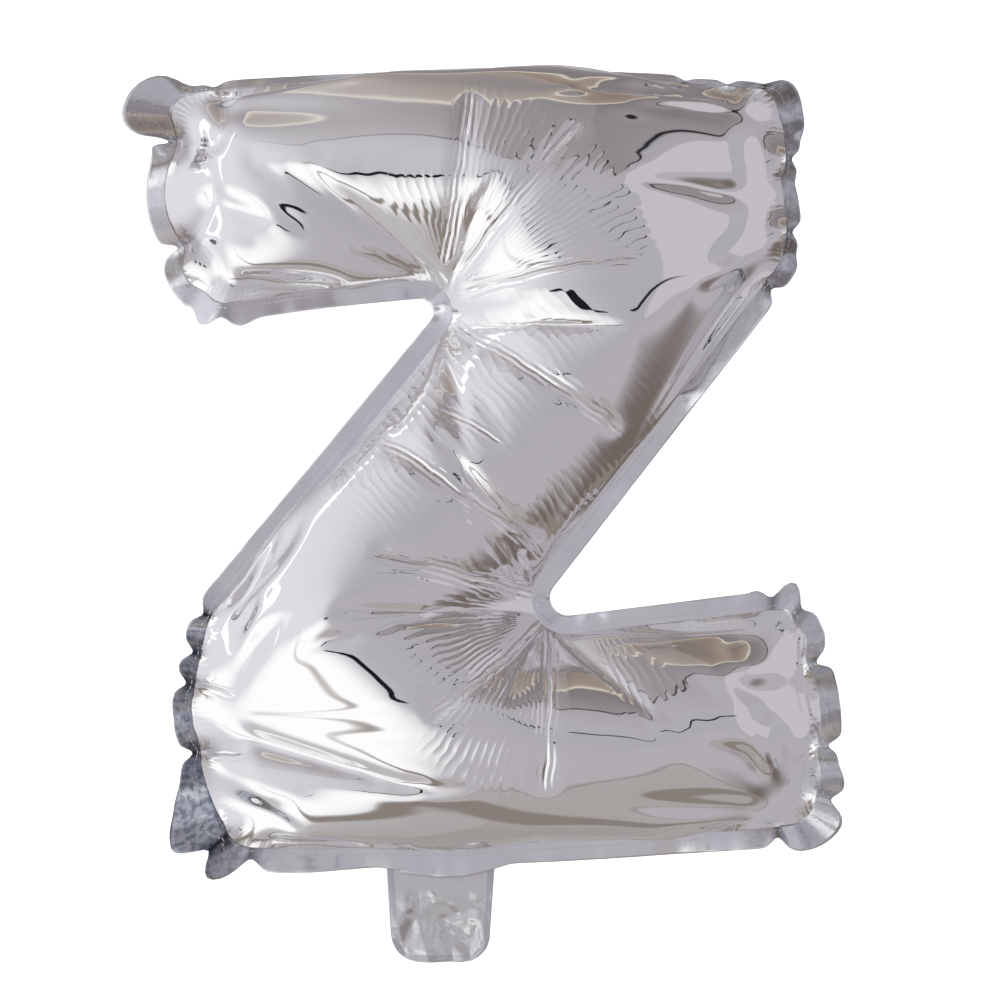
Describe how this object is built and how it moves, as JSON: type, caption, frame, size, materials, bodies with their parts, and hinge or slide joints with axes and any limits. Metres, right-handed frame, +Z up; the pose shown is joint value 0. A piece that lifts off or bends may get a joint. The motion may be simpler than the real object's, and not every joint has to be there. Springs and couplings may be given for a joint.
{
  "type": "letter Z foil balloon",
  "caption": "Inflated foil balloon shaped as the letter Z: two silver films sealed along a flat border, with a flat clear filling tail that folds at its root.",
  "frame": {"origin": "middle of the letter, in the plane of its seam", "axes": "+Z up along the letter's height, +X to the letter's right as it is read, -Y out of its face"},
  "size_m": [0.3056, 0.0848, 0.3771],
  "materials": {
    "silver_foil": "mirror-bright metallised film",
    "sealed_foil": "heat-sealed metallised film, satin",
    "clear_film": "thin clear film with a faint sheen"
  },
  "bodies": {
    "balloon": {"front_film": "silver_foil", "back_film": "silver_foil", "seal_ear_top_left": "sealed_foil", "seal_head_end": "sealed_foil", "seal_head_tip": "sealed_foil", "seal_head_under": "sealed_foil", "seal_diagonal_left": "sealed_foil", "seal_left_side": "sealed_foil", "seal_ear_bottom_left": "sealed_foil", "seal_bottom_left": "sealed_foil", "seal_tail_root": "sealed_foil", "seal_bottom_right": "sealed_foil", "seal_ear_bottom_right": "sealed_foil", "seal_foot_end": "sealed_foil", "seal_ear_foot_tip": "sealed_foil", "seal_foot_upper": "sealed_foil", "seal_diagonal_right": "sealed_foil", "seal_right_side": "sealed_foil", "seal_ear_top_right": "sealed_foil", "seal_top": "sealed_foil"},
    "tail": {"tail_front_film": "clear_film", "tail_back_film": "clear_film"}
  },
  "joints": [
    {"name": "tail_fold", "type": "hinge", "parent": "balloon", "child": "tail", "pos_m": [-0.025, 0, -0.17641], "axis": [1, 0, 0], "range_deg": [-90, 90]}
  ]
}
